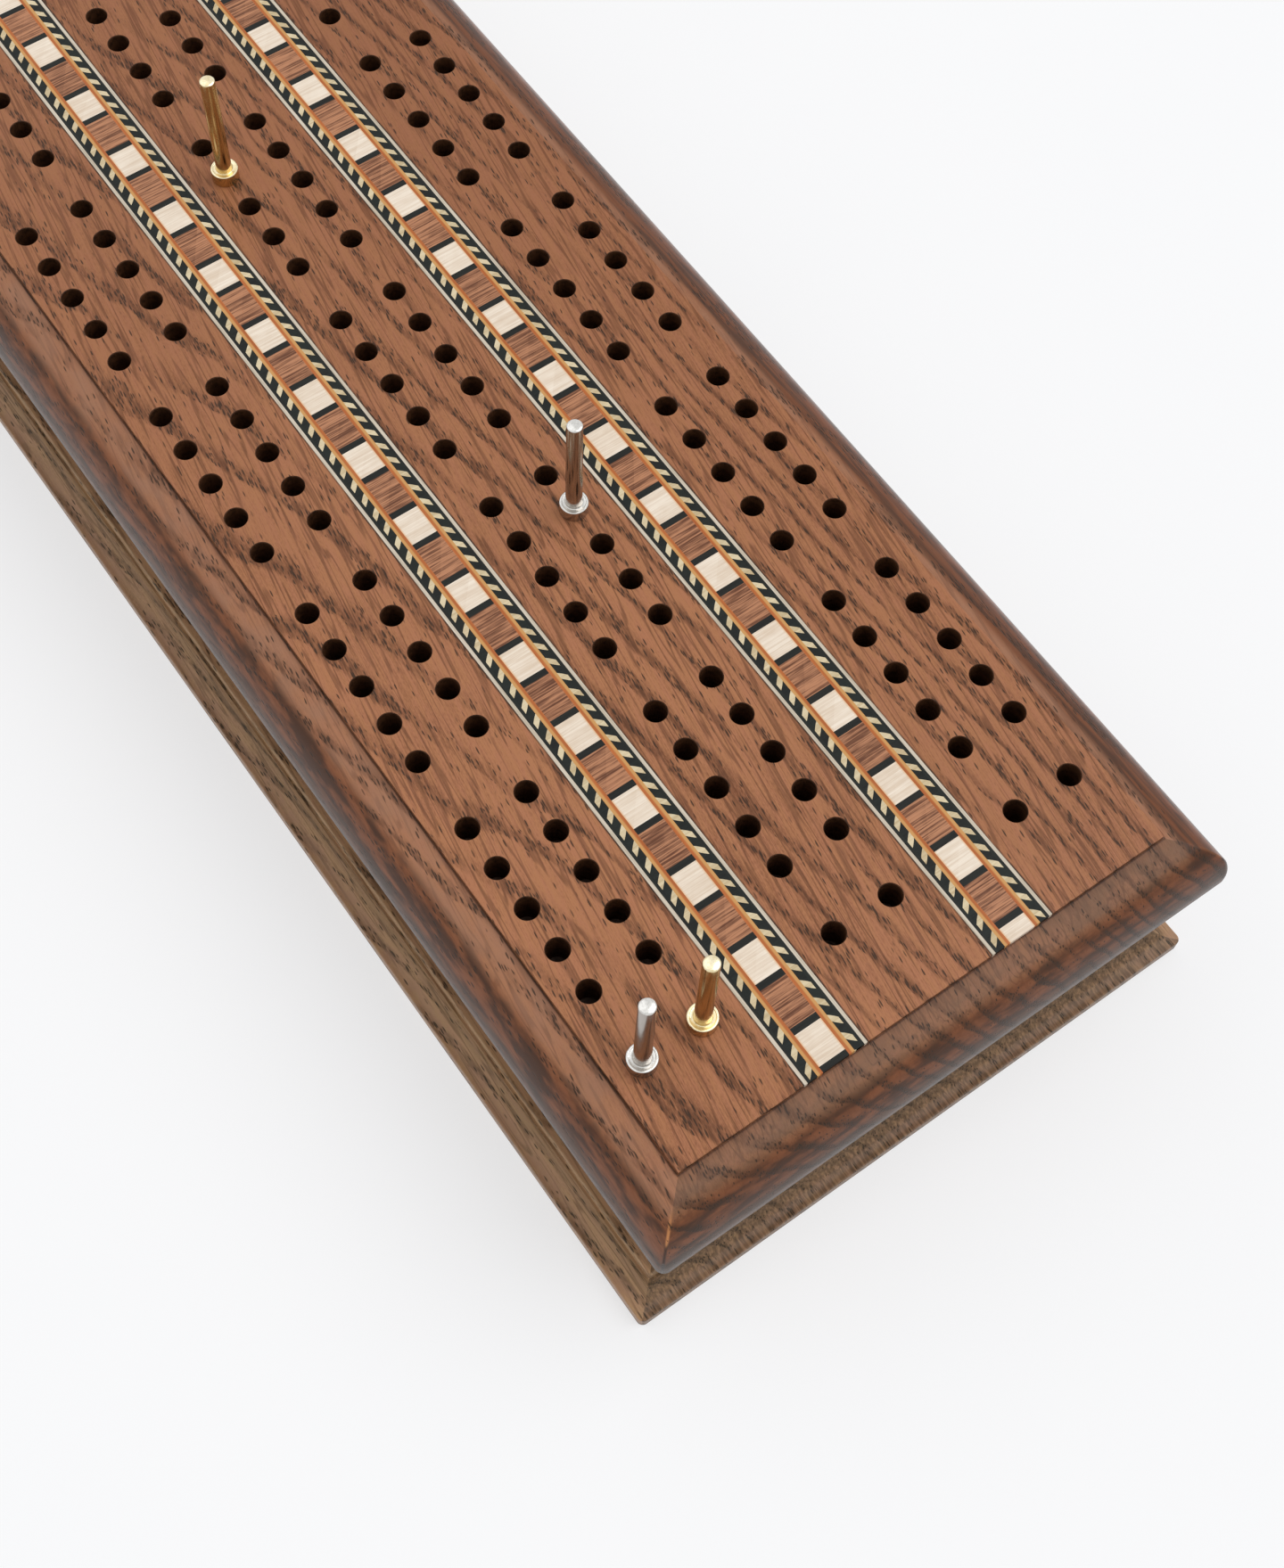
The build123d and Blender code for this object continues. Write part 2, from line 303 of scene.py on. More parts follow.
class Shader:
    """A material with one Principled node, and short calls for the nodes that feed it."""

    def __init__(self, name, **values):
        self.material = bpy.data.materials.new(name)
        self.material.use_nodes = True
        self.tree = self.material.node_tree
        self.surface = self.tree.nodes["Principled BSDF"]
        for key, value in values.items():
            self.surface.inputs[key.replace("_", " ")].default_value = value

    def node(self, kind, *values, **settings):
        made = self.tree.nodes.new("ShaderNode" + kind)
        for key, value in settings.items():
            setattr(made, key, value)
        for socket, value in zip(made.inputs, values):
            self.feed(value, socket)
        return made

    def feed(self, value, socket):
        if isinstance(value, bpy.types.NodeSocket):
            self.tree.links.new(value, socket)
        elif value is not None:
            socket.default_value = value

    def math(self, operation, a, b=None):
        return self.node("Math", a, b, operation=operation).outputs[0]

    def plus(self, first, *others):
        for other in others:
            first = self.math("ADD", first, other)
        return first

    def minus(self, a, b):
        return self.math("SUBTRACT", a, b)

    def times(self, a, b):
        return self.math("MULTIPLY", a, b)

    def size(self, value):
        return self.math("ABSOLUTE", value)

    def swing(self, value, middle, weight):
        """How far a value lies from a middle one, times a weight."""
        return self.times(self.minus(value, middle), weight)

    def step(self, value, low, high, start=0.0, end=1.0):
        """Eases from start to end as the value goes from low to high."""
        made = self.node("MapRange", value, low, high, start, end, interpolation_type="SMOOTHSTEP")
        return made.outputs[0]

    def zone(self, value, rise, fall):
        """Up from 0 to 1 over the rise, and back to 0 over the fall."""
        return self.times(self.step(value, *rise), self.step(value, *fall, 1.0, 0.0))

    def contours(self, value, count=3.4):
        """Distance to contour lines of a value, in line spacings; count lines for each unit."""
        return self.size(self.minus(self.math("FRACT", self.times(value, count)), 0.5))

    def split(self, vector):
        return self.node("SeparateXYZ", vector).outputs

    def scaled(self, *pairs):
        """Vector of three (value, factor) pairs."""
        parts = [value if factor == 1.0 else self.times(value, factor) for value, factor in pairs]
        return self.node("CombineXYZ", *parts).outputs[0]

    def place(self):
        """Object coordinates in millimetres."""
        here = self.node("TexCoord").outputs["Object"]
        return self.node("VectorMath", here, (1 / MM,) * 3, operation="MULTIPLY").outputs["Vector"]

    def normal(self):
        return self.split(self.node("NewGeometry").outputs["Normal"])

    def noise(self, vector, detail=2.0, rough=0.5, scale=1.0):
        made = self.node("TexNoise")
        values = {"Vector": vector, "Scale": scale, "Detail": detail, "Roughness": rough}
        for key, value in values.items():
            self.feed(value, made.inputs[key])
        return made.outputs[0]

    def cells(self, vector):
        """Distance to the middle of each cell, and a number of its own for each cell."""
        made = self.node("TexVoronoi")
        for key, value in {"Vector": vector, "Scale": 1.0, "Randomness": 1.0}.items():
            self.feed(value, made.inputs[key])
        return made.outputs["Distance"], self.split(made.outputs["Color"])[0]

    def mix(self, factor, a, b):
        made = self.tree.nodes.new("ShaderNodeMix")
        made.data_type = "RGBA"
        for place, value in ((0, factor), (6, a), (7, b)):
            self.feed(value, made.inputs[place])
        return made.outputs[2]

    def bump(self, height, strength, distance):
        made = self.node("Bump")
        made.inputs["Strength"].default_value = strength
        made.inputs["Distance"].default_value = distance * MM
        self.feed(height, made.inputs["Height"])
        self.feed(made.outputs[0], self.surface.inputs["Normal"])

    def finish(self, colour, rough=None):
        self.feed(colour, self.surface.inputs["Base Color"])
        self.feed(rough, self.surface.inputs["Roughness"])
        return self.material


# Grain of the oak: repeats for each millimetre across the plank, along it and down.
WAVER = (0.05, 0.012, 0.05)  # wanders off the true ring, and slow change of tone
RIPPLE = (0.33, 0.08, 0.33)  # small unevenness of the rings
PATCHES = (0.11, 0.035, 0.11)  # where the rings show more or less
PORES = (3.3, 0.6, 3.3)
FIBRES = (4.5, 0.11, 4.5)
STRANDS = (0.85, 0.045, 0.85)  # long lines between the pores
SPECKS = (7.0, 1.6, 7.0)
HUES = (1.3, 0.22, 1.3)
SHADES = (1.7, 0.3, 1.7)  # darker wood round some of the pores
WAVER_REACH = 6.0
RIPPLE_REACH = 1.4


def oak(name, light, dark, pore, along="Y", rings=2.6, heart=(-62.0, -40.0), tilt=0.12,
        slant=0.15, moulding=None, coat=0.3, end_rings=0.55):
    """Ring-porous wood: growth rings round a tilted heart, open pores and dark fibre lines.

    heart is where the pith crosses the section, rings the width of a year's growth, tilt how
    much the pith sinks and slant how much the grain drifts sideways for each millimetre along.
    moulding is a function that adds the finish, painted light and painted shade of a moulded edge.
    """
    s = Shader(name, Coat_Weight=coat, Coat_Roughness=0.2, Specular_IOR_Level=0.12)
    x, y, z = s.split(s.place())
    if along == "X":
        x, y = y, x
    drifted = s.minus(x, s.times(y, slant))

    def grain(scale, across=drifted):
        return s.scaled(*zip((across, y, z), scale))

    # rings: early wood is the porous part of each year's growth
    waver = s.noise(grain(WAVER, x))
    ripple = s.noise(grain(RIPPLE, x), 3.0)
    side = s.minus(x, heart[0])
    depth = s.plus(s.minus(z, heart[1]), s.times(y, tilt))
    radius = s.math("SQRT", s.plus(s.times(side, side), s.times(depth, depth)))
    radius = s.plus(radius, s.swing(waver, 0.5, WAVER_REACH), s.times(ripple, RIPPLE_REACH))
    year = s.math("FRACT", s.math("DIVIDE", radius, rings))
    patches = s.step(s.noise(grain(PATCHES, x)), 0.32, 0.54, 0.28, 1.0)
    early = s.times(s.zone(year, (0.0, 0.12), (0.18, 0.5)), patches)

    # pores: the more early wood, the more of the cells are open
    gap, chance = s.cells(grain(PORES))
    fill = s.step(early, 0.05, 0.95, 0.1, 1.05)
    pores = s.times(s.step(s.minus(fill, chance), 0.0, 0.05), s.step(gap, 0.26, 0.5, 1.0, 0.0))
    fibre = s.noise(grain(FIBRES), 3.0, 0.6)
    crest = s.contours(s.noise(grain(STRANDS), 1.0))
    lines = s.times(s.step(crest, 0.05, 0.18, 1.0, 0.0), s.step(fibre, 0.3, 0.55, 0.6, 1.0))

    speck = s.noise(grain(SPECKS), 2.0, 0.6)
    tone = s.plus(s.swing(fibre, 0.42, 1.2), s.times(early, 0.3), s.swing(waver, 0.4, 0.8),
                  s.swing(speck, 0.5, 0.9))
    hue = s.step(s.noise(grain(HUES)), 0.36, 0.62)
    yellow = (light[0], light[1] * 1.03, light[2] * 0.95, 1.0)
    colour = s.mix(s.step(tone, 0.0, 1.0), s.mix(hue, light, yellow), dark)
    colour = s.mix(s.times(lines, 0.62), colour, s.mix(0.3, dark, pore))
    if moulding:
        colour = moulding(s, colour, x, y, z)
    shade = s.times(early, s.step(s.noise(grain(SHADES)), 0.36, 0.6))
    colour = s.mix(s.times(shade, 0.5), colour, s.mix(0.6, dark, pore))
    end_grain = s.step(s.size(s.normal()[0 if along == "X" else 1]), 0.15, 0.8)
    colour = s.mix(s.times(end_grain, s.plus(0.1, s.times(early, end_rings))), colour, pore)
    colour = s.mix(s.times(pores, 0.84), colour, pore)
    s.bump(s.minus(s.times(fibre, 0.25), pores), 0.5, 0.08)
    return s.finish(colour, s.step(fibre, 0.25, 0.75, 0.34, 0.5))


# Finish, painted light and painted shade of the board's edge, in millimetres out from the edge of
# the field.
STEP_SHADOW = (-0.03, 0.02), (0.12, 0.36)
FLAT_START = (0.1, 0.4)
BEND_SHADE = (3.4, 5.2)
GLOSS = (4.4, 7.0, 7.9)
LIP_REFLECTION = (7.0, 7.7)
MITRE_WEAR_AND_HIGHLIGHT = (2.5, 5.5), (5.9, 6.3)
MITRE_FOOT = (6.0, 6.4)
RIGHT_SHADE = (41.8, 43.4)  # this one is a range of X
BLACK = srgb(36, 22, 14)


def edge_finish_and_painted_light(s, colour, x, y, z):
    """Finish on the board's edge: gloss and painted red shade round the bend, painted shade on the
    right side, painted sheen beside the field, a painted highlight with wear on the mitres, a
    painted grey reflection on the lip, painted shade in the step and along the bandings, and black
    at the mitres' feet.
    """
    to_side = s.minus(s.size(x), BOARD_HALF[0] - EDGE_RADIUS)
    to_end = s.minus(s.size(y), FIELD_HALF_LENGTH)
    out = s.math("MAXIMUM", to_side, to_end)
    at_end = s.step(s.minus(to_end, to_side), 0.0, 0.1)
    mitre = s.size(s.minus(to_side, to_end))
    blotch = s.noise(s.scaled((x, 0.16), (y, 0.16), (z, 1.0)), 3.0)

    # the whole board is darker towards its far end, and painted shade darkens its right side
    far = s.plus(s.step(y, -80.0, 50.0, 0.0, 0.26), s.step(x, -10.0, 35.0, 0.0, 0.1))
    colour = s.mix(far, colour, srgb(106, 58, 34))

    # flat part beside the field: a painted pale sheen on the sides, duller at the ends
    flat = s.times(s.step(out, *FLAT_START), s.step(blotch, 0.36, 0.66, 0.3, 0.65))
    colour = s.mix(flat, colour, s.mix(at_end, srgb(158, 116, 92), srgb(112, 84, 62)))
    end_dark = s.times(at_end, s.step(out, 0.0, 0.3, 0.0, 0.3))
    colour = s.mix(end_dark, colour, srgb(88, 62, 46))

    # painted red shade on the right side and round the bend everywhere, and a painted grey
    # reflection on the lip
    streak = s.step(s.noise(s.scaled((x, 1.4), (y, 0.07), (z, 1.4))), 0.4, 0.62)
    right_shade_red = s.mix(streak, srgb(104, 56, 28), srgb(54, 28, 15))
    colour = s.mix(s.step(x, *RIGHT_SHADE, 0.0, 0.85), colour, right_shade_red)
    bend_shade = s.times(s.step(out, *BEND_SHADE), s.step(blotch, 0.35, 0.62, 0.75, 0.95))
    bend_shade_red = s.mix(s.step(blotch, 0.36, 0.64), srgb(118, 65, 35), srgb(66, 38, 22))
    colour = s.mix(bend_shade, colour, bend_shade_red)
    colour = s.mix(s.step(out, *LIP_REFLECTION, 0.0, 0.6), colour, srgb(70, 58, 48))

    # mitres: rubbed pale on the bend with a painted highlight, most at the left, and black below
    # it
    pale_patches = s.times(s.step(mitre, 0.1, 0.42, 1.0, 0.0), s.zone(out, *MITRE_WEAR_AND_HIGHLIGHT))
    pale_patches = s.times(pale_patches, s.step(x, -10.0, 10.0, 0.85, 0.12))
    colour = s.mix(pale_patches, colour, srgb(204, 138, 86))
    foot = s.times(s.step(mitre, 0.1, 0.45, 1.0, 0.0), s.step(out, *MITRE_FOOT))
    colour = s.mix(s.times(foot, 0.8), colour, BLACK)

    # painted shade along the joint on the field beside each banding
    middle = s.size(s.minus(s.size(x), BANDINGS["right"]))
    joint_shade = s.times(s.zone(middle, (5.1, 5.16), (5.3, 5.46)), s.step(out, 0.0, -0.01))
    colour = s.mix(s.times(joint_shade, s.step(blotch, 0.35, 0.6, 0.35, 0.85)), colour, BLACK)

    start, top, end = GLOSS
    gloss = s.times(s.step(out, start, top, 0.16, 0.6), s.step(out, top, end, 1.0, 0.45))
    s.feed(gloss, s.surface.inputs["Coat Weight"])
    shadow = s.times(s.zone(out, *STEP_SHADOW), s.step(blotch, 0.3, 0.7, 0.55, 0.85))
    return s.mix(shadow, colour, BLACK)


# Finish, painted light and painted shade of the base's edge, in millimetres in from its outer
# edge.
EDGE_PAINTED_LIGHT = (1.3, 2.5)
COVE_SHADE = (2.0, 3.2), (3.9, 4.0)
RIDGE_HIGHLIGHT = (3.9, 4.0), (4.2, 4.5)


def cove_finish_and_painted_light(s, colour, x, y, z):
    """Finish on the base's edge: painted shade in the cove, painted light on the outer band, a
    painted highlight on the ridge, and speckled ends.
    """
    from_side = s.minus(BASE_HALF[0], s.size(x))
    from_end = s.minus(BASE_HALF[1], s.size(y))
    inside = s.math("MINIMUM", from_side, from_end)
    pale_patches = s.noise(s.scaled((x, 0.4), (y, 0.4), (z, 1.0)), 3.0)
    # painted shade in the cove
    colour = s.mix(s.times(s.zone(inside, *COVE_SHADE), 0.3), colour, srgb(84, 66, 44))
    # painted light on the outer band
    edge_light = s.times(s.step(inside, *EDGE_PAINTED_LIGHT, 1.0, 0.0), s.step(pale_patches, 0.4, 0.6, 0.15, 0.6))
    colour = s.mix(edge_light, colour, srgb(174, 134, 107))
    speckle = s.step(s.noise(s.scaled((x, 2.2), (0.0, 1.0), (z, 2.2))), 0.35, 0.65, 0.3, 0.75)
    at_end = s.step(s.minus(from_side, from_end), 0.0, 0.1)
    colour = s.mix(s.times(at_end, speckle), colour, srgb(82, 64, 48))
    # painted highlight on the ridge
    ridge_highlight = s.times(s.zone(inside, *RIDGE_HIGHLIGHT), s.step(pale_patches, 0.35, 0.65, 0.1, 0.6))
    return s.mix(ridge_highlight, colour, srgb(194, 162, 126))


def veneer(name, light, dark, across="X", fineness=3.0, contrast=1.0, chips=0.0, lines=0.0,
           beside=None, coat=0.25):
    """Thin wood with fine straight fibres along one axis.

    fineness is fibres for each millimetre, chips how much one chip's tone differs from the
    next, and lines how dark its strands are. beside is (tint, first, last): the tint comes in
    between these two distances from the middle of the banding.
    """
    s = Shader(name, Coat_Weight=coat, Coat_Roughness=0.2, Specular_IOR_Level=0.15)
    x, y, z = s.split(s.place())
    along, athwart = (x, y) if across == "X" else (y, x)

    def grain(u, v):
        return s.scaled((along, u), (athwart, v), (z, 1.0))

    fibre = s.noise(grain(0.03 * fineness, fineness), 3.0, 0.65)
    broad = s.noise(grain(0.5, 0.5))
    each = s.node("NewGeometry").outputs["Random Per Island"]
    tone = s.plus(s.swing(fibre, 0.5, 2.2 * contrast), s.times(broad, 0.5),
                  s.swing(each, 0.5, chips))
    colour = s.mix(s.step(tone, -0.3, 0.9), light, dark)
    if lines:
        crest = s.contours(s.noise(grain(0.04, 1.9), 1.0))
        colour = s.mix(s.step(crest, 0.06, 0.24, lines, 0.0), colour, dark)
    if beside:
        tint, first, last = beside
        middle = s.size(s.minus(s.size(x), BANDINGS["right"]))
        colour = s.mix(s.step(middle, first, last), colour, tint)
    s.bump(fibre, 0.3, 0.05)
    return s.finish(colour, s.step(fibre, 0.3, 0.7, 0.42, 0.54))


def polished(name, light, dark, side=None, rough=0.16):
    """Handled metal with faint upright streaks and marks; side is a colour of painted shade on its
    upright faces, so the tops read lighter.
    """
    s = Shader(name, Metallic=1.0)
    place = s.place()
    x, y, z = s.split(place)
    streaks = s.noise(s.scaled((x, 3.0), (y, 3.0), (z, 0.12)))
    marks = s.noise(place, scale=0.7)
    tone = s.plus(s.times(streaks, 0.5), s.times(marks, 0.5))
    colour = s.mix(s.step(tone, 0.3, 0.7), light, dark)
    if side:
        # painted shade: upright faces darker than the tops, as the light falls
        up = s.size(s.normal()[2])
        colour = s.mix(s.step(up, 0.2, 0.7, 0.85, 0.0), colour, side)
    s.bump(streaks, 0.02, 0.02)
    return s.finish(colour, s.step(marks, 0.3, 0.7, rough, rough + 0.06))


# light wood, dark wood and pores of each oak
BOARD_TONES = srgb(176, 117, 83), srgb(112, 66, 40), srgb(46, 32, 20)
BASE_TONES = srgb(186, 147, 113), srgb(130, 98, 70), srgb(54, 45, 32)
CASE_TONES = srgb(142, 98, 68), srgb(98, 60, 38), srgb(46, 32, 24)
DRAWER_TONES = srgb(214, 180, 138), srgb(184, 146, 104), srgb(136, 102, 70)
DRAWER_GRAIN = {"rings": 2.8, "heart": (-20.0, -60.0), "tilt": 0.04, "slant": 0.02, "coat": 0.1}

board_oak = oak("board_oak", *BOARD_TONES, moulding=edge_finish_and_painted_light)
base_oak = oak("base_oak", *BASE_TONES, rings=2.4, heart=(-80.0, -70.0), tilt=0.1, slant=0.04,
               moulding=cove_finish_and_painted_light, coat=0.15, end_rings=0.12)
case_oak = oak("case_oak", *CASE_TONES, heart=(-30.0, -40.0), tilt=0.05, slant=0.02)
case_oak_across = oak("case_oak_across", *CASE_TONES, along="X", heart=(60.0, -40.0), tilt=0.08,
                      slant=0.03)
drawer_wood = oak("drawer_wood", *DRAWER_TONES, **DRAWER_GRAIN)
drawer_wood_across = oak("drawer_wood_across", *DRAWER_TONES, along="X", **DRAWER_GRAIN)
bored_oak = veneer("bored_oak", srgb(88, 56, 36), srgb(40, 25, 16), across="Y", fineness=1.2,
                   coat=0.0)
panel_wood = veneer("drawer_panel", srgb(222, 196, 158), srgb(196, 164, 122), across="Y",
                    fineness=1.6)
maple = veneer("maple_blocks", srgb(250, 236, 218), srgb(224, 202, 178), chips=0.25, lines=0.35,
               beside=(srgb(226, 176, 120), 1.8, 2.3))
maple_line = veneer("maple_lines", srgb(222, 210, 192), srgb(186, 172, 150), across="Y")
black_bar = veneer("black_bars", srgb(28, 30, 26), srgb(14, 15, 13), coat=0.1)
black_line = veneer("black_lines", srgb(26, 31, 27), srgb(13, 16, 14), across="Y", coat=0.1)
brown_block = veneer("brown_blocks", srgb(190, 132, 96), srgb(100, 58, 36), fineness=3.8,
                     contrast=2.0, chips=0.3)
orange_line = veneer("orange_lines", srgb(192, 110, 56), srgb(168, 90, 42), across="Y",
                     beside=(srgb(208, 154, 92), 2.45, 2.75))
cream_chip = veneer("cream_chips", srgb(227, 210, 174), srgb(196, 174, 134), fineness=2.4,
                    chips=0.6)
black_chip = veneer("black_chips", srgb(25, 31, 27), srgb(13, 16, 14), fineness=2.4, chips=0.6,
                    coat=0.1)
# the side colours below are painted shade on the pegs' upright faces
silver = polished("silver_metal", srgb(218, 217, 213), srgb(192, 190, 186),
                  side=srgb(172, 164, 156))
brass = polished("peg_brass", srgb(238, 228, 198), srgb(222, 206, 164), side=srgb(200, 170, 112))
knob_brass = polished("knob_brass", srgb(214, 184, 128), srgb(182, 146, 86), rough=0.2)
steel = polished("screw_steel", srgb(188, 188, 188), srgb(150, 150, 150), rough=0.3)


# ---------------------------------------------------------------- case body
def board_profile():
    """Insets from the edge, from the underside up to the field."""
    points = from_corner(0, 0, (0.3, 0.0), (0.09, 0.09), (0.0, 0.3))
    points += [(EDGE_RADIUS - x, z) for x, z in arc(0, EDGE_LIP, EDGE_RADIUS, 0, 90, 24)]
    points += from_corner(EDGE_RADIUS, BOARD_THICKNESS, (0.0, -0.12), (0.04, -0.04), (0.12, 0.0))
    return [(inset, BOARD_BASE + z) for inset, z in points]


def hole_places():
    rows = [track + side * ROW_SPACING / 2 for track in TRACKS for side in (-1, 1)]
    ys = [START_Y]
    ys += [FIRST_Y + g * GROUP_PITCH + h * PITCH for g in range(GROUPS) for h in range(HOLES)]
    return [(x, y) for x in rows for y in ys]


def playing_board():
    board = new_piece("board", *moulded(BOARD_HALF, board_profile(), BOARD_CORNER), board_oak)
    half, end = BANDING_WIDTH / 2 + GLUE_GAP, FIELD_HALF_LENGTH + GROOVE_OVERRUN
    grooves = [
        prism([(x - half, -end), (x + half, -end), (x + half, end), (x - half, end)],
              FIELD_TOP - BANDING_THICKNESS, FIELD_TOP + CUTTER_ABOVE)
        for x in BANDINGS.values()
    ]
    rim = HOLE_RADIUS + HOLE_EASE
    drill = turned(
        [(0, -HOLE_DEPTH), (HOLE_RADIUS, DRILL_POINT - HOLE_DEPTH), (HOLE_RADIUS, -HOLE_EASE),
         (rim, 0), (rim, CUTTER_ABOVE), (0, CUTTER_ABOVE)], 32)
    drills = [moved(drill, Matrix.Translation((x, y, FIELD_TOP))) for x, y in hole_places()]
    cut(board, (joined(grooves), board_oak), (joined(drills), bored_oak))
    return board


def base_profile():
    """Insets from the edge, from the underside up the cove to the ridge."""
    cove_top = BASE_EDGE + COVE_RADIUS
    points = from_corner(0, 0, (0.3, 0.0), (0.08, 0.08), (0.0, 0.3))
    points += from_corner(0, BASE_EDGE, (0.0, -0.2), (0.06, -0.05), (0.2, 0.0))
    points += [(BASE_LEDGE - x, z) for x, z in arc(0, cove_top, COVE_RADIUS, 270, 180, 14)]
    points += [(BASE_RIDGE, cove_top)]
    points += from_corner(BASE_RIDGE, BASE_TOP, (0.0, -0.25), (0.07, -0.07), (0.25, 0.0))
    return points


def rope(hand, side):
    """Cream and black chips of one rope strip; they slant outwards towards the near end."""
    near, far = -FIELD_HALF_LENGTH, FIELD_HALF_LENGTH
    inner = BANDINGS[hand] + side * (CORE_WIDTH / 2 + ORANGE_WIDTH)

    def joint(y, bow):
        """Points of one joint between chips, from the orange line out to the black line."""
        points = []
        for t in (0.0, 0.25, 0.5, 0.75, 1.0):
            slanted = y - ROPE_WIDTH * t + bow * (1 - 4 * t * (1 - t))
            points.append((inner + side * ROPE_WIDTH * t, min(max(slanted, near), far)))
        return points

    cream, black = [], []
    y = near + FIRST_CHIP[hand, side] + ROPE_WIDTH - 2 * CHIP_PITCH
    while y - ROPE_WIDTH < far:
        low, high = joint(y, CHIP_BOW), joint(y + CREAM_LENGTH, -CHIP_BOW)
        following = joint(y + CHIP_PITCH, CHIP_BOW)
        for chips, a, b in ((cream, low, high), (black, high, following)):
            if max(q[1] - p[1] for p, q in zip(a, b)) > CHIP_MIN:
                chips.append(prism(a + b[::-1], FIELD_TOP - BANDING_THICKNESS, FIELD_TOP))
        y += CHIP_PITCH
    return cream, black


settle(playing_board(), "case", "playing_board")
base = new_piece("base", *moulded(BASE_HALF, base_profile(), BASE_CORNER), base_oak, True)
settle(base, "case", "base_board")
for hand in BANDINGS:
    (left_cream, left_black), (right_cream, right_black) = rope(hand, -1), rope(hand, 1)
    for kind, material, chips in (
        ("cream", cream_chip, left_cream + right_cream),
        ("black", black_chip, left_black + right_black),
    ):
        piece = new_piece(f"{hand}_rope_{kind}_chips", *joined(chips), material)
        settle(piece, "case", f"{hand}_banding_rope_strips")
    for kind, material in (
        ("light_lines", maple_line),
        ("black_lines", black_line),
        ("orange_lines", orange_line),
        ("light_blocks", maple),
        ("brown_blocks", brown_block),
        ("black_bars", black_bar),
    ):
        dress(f"{hand}_banding_{kind}", material)
for node, material in (
    ("case_side_left", case_oak),
    ("case_side_right", case_oak),
    ("case_end_wall", case_oak_across),
):
    settle(eased(node, material, CASE_EASE), "case", node)

# ---------------------------------------------------------------- drawer body
front = eased("drawer_front", case_oak_across, FRONT_EASE)
settle(front, "drawer", "drawer_front")
for node, material, slot in (
    ("drawer_side_left", drawer_wood, "drawer_wood"),
    ("drawer_side_right", drawer_wood, "drawer_wood"),
    ("drawer_back", drawer_wood_across, "drawer_wood"),
    ("drawer_bottom", panel_wood, "drawer_panel"),
    ("drawer_divider_inner", drawer_wood_across, "drawer_wood"),
    ("drawer_divider_outer", drawer_wood_across, "drawer_wood"),
):
    settle(eased(node, material, DRAWER_EASE), "drawer", node)


def knob():
    """Foot, hollow neck and rounded head, turned along Y."""
    points = [(0, 0)]
    points += from_corner(KNOB_FOOT_RADIUS, 0, (-0.25, 0.0), (-0.08, 0.07), (0.0, 0.25))
    points += from_corner(KNOB_FOOT_RADIUS, KNOB_FOOT_LENGTH,
                          (0.0, -0.3), (-0.1, -0.08), (-0.35, 0.0))
    points += from_corner(KNOB_NECK_RADIUS, KNOB_FOOT_LENGTH, (0.25, 0.0))
    for i in range(11):
        hollow = KNOB_NECK_HOLLOW * math.sin(math.pi * i / 10)
        along = KNOB_FOOT_LENGTH + 0.15 + KNOB_NECK_LENGTH * i / 10
        points.append((KNOB_NECK_RADIUS - hollow, along))
    points += from_corner(KNOB_HEAD_RADIUS, KNOB_HEAD_START,
                          (-2.6, -1.05), (-1.4, -0.65), (-0.45, -0.25), (-0.1, 0.1), (0.0, 0.6))
    points += from_corner(KNOB_HEAD_RADIUS, KNOB_LENGTH, (0.0, -1.9))
    points += arc(KNOB_HEAD_RADIUS - KNOB_SHOULDER, KNOB_LENGTH - 1.5, KNOB_SHOULDER, 10, 80, 7)
    points += from_corner(0, KNOB_LENGTH, (4.3, -0.3), (3.6, -0.2), (2.4, -0.08), (1.2, -0.02))
    points += [(0, KNOB_LENGTH)]
    turn = Matrix.Rotation(math.radians(-90), 4, "X")
    place = Matrix.Translation((0, DRAWER_FRONT_Y, KNOB_Z)) @ turn
    return new_piece("knob", *moved(turned(points, 72), place), knob_brass, True, 28)


settle(knob(), "drawer", "drawer_knob")
dress("knob_screw", steel)


# ---------------------------------------------------------------- pegs
def peg(x, y, name, material):
    """Shank in the hole, dished collar on the field, and a neck that tapers to a rounded top."""
    points = [(0, -PEG_INSERT)]
    points += from_corner(PEG_SHANK_RADIUS, -PEG_INSERT, (-0.3, 0.0), (-0.08, 0.15), (0.0, 0.45))
    points += [(PEG_SHANK_RADIUS, 0)]
    points += from_corner(PEG_COLLAR_RADIUS, 0, (-0.12, 0.0), (-0.03, 0.04), (0.0, 0.14))
    points += from_corner(PEG_COLLAR_RADIUS, PEG_COLLAR_HEIGHT,
                          (0.0, -0.24), (-0.03, -0.1), (-0.11, -0.02), (-0.23, 0.0),
                          (-0.35, -0.02), (-0.41, -0.07), (-0.45, -0.08))
    points += from_corner(PEG_NECK_RADIUS, PEG_COLLAR_HEIGHT,
                          (0.17, -0.07), (0.09, 0.0), (0.02, 0.2), (0.0, 0.5))
    points += from_corner(PEG_NECK_RADIUS, PEG_HEIGHT,
                          (-0.07, -0.34), (-0.12, -0.16), (-0.25, -0.04), (-0.4, 0.0))
    points += [(0, PEG_HEIGHT)]
    place = Matrix.Translation((x, y, FIELD_TOP))
    return new_piece(name, *moved(turned(points), place), material, True, 28)


for node, (x, y) in PEGS.items():
    is_silver = "silver" in node
    piece = peg(x, y, node + "_turned", silver if is_silver else brass)
    settle(piece, node, node)


